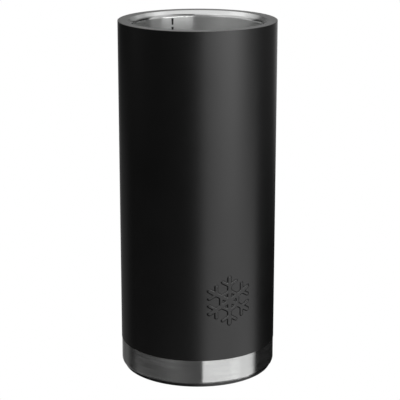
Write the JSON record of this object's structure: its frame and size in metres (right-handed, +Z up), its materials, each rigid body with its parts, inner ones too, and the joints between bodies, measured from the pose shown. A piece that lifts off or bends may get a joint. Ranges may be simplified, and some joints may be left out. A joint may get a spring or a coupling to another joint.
{
  "type": "insulated drink tumbler",
  "caption": "Straight double-wall vacuum-insulated steel drink tumbler with a black powder coat, bare steel base band, welded lip and rubber foot.",
  "frame": {"origin": "centre of the rubber foot's underside, on the cup's axis", "axes": "+Z up along the cup's axis towards the mouth; -Y is the front, the side with the emblem; +X is to the right seen from the front"},
  "size_m": [0.076, 0.0764, 0.172],
  "materials": {
    "band_steel": "fine circumferential brush",
    "coat_black": "satin powder coat",
    "emblem_black": "satin powder coat over a raised print",
    "liner_steel": "fine circumferential brush inside, polished chamfer",
    "weld_steel": "ground flush",
    "foil_copper": "bright copper foil, lightly creased",
    "clip_steel": "rolled",
    "getter_alloy": "pressed powder",
    "base_steel": "pressed, unpolished",
    "solder_glass": "dark glossy bead",
    "cover_steel": "spun",
    "adhesive": "cured bead",
    "tape": "foam tape",
    "foot_rubber": "matte moulded"
  },
  "bodies": {
    "root": {"outer_shell": "band_steel", "powder_coat": "coat_black", "emblem": "emblem_black", "inner_liner": "liner_steel", "liner_bottom": "liner_steel", "liner_weld": "weld_steel", "rim_weld": "weld_steel", "wall_foil": "foil_copper", "floor_foil": "foil_copper", "getter_clip": "clip_steel", "getter_pellet": "getter_alloy", "vacuum_base": "base_steel", "base_weld": "weld_steel", "seal_glass": "solder_glass", "base_cover": "cover_steel", "cover_adhesive": "adhesive", "foot_tape": "tape", "foot_ring": "foot_rubber"}
  },
  "joints": []
}
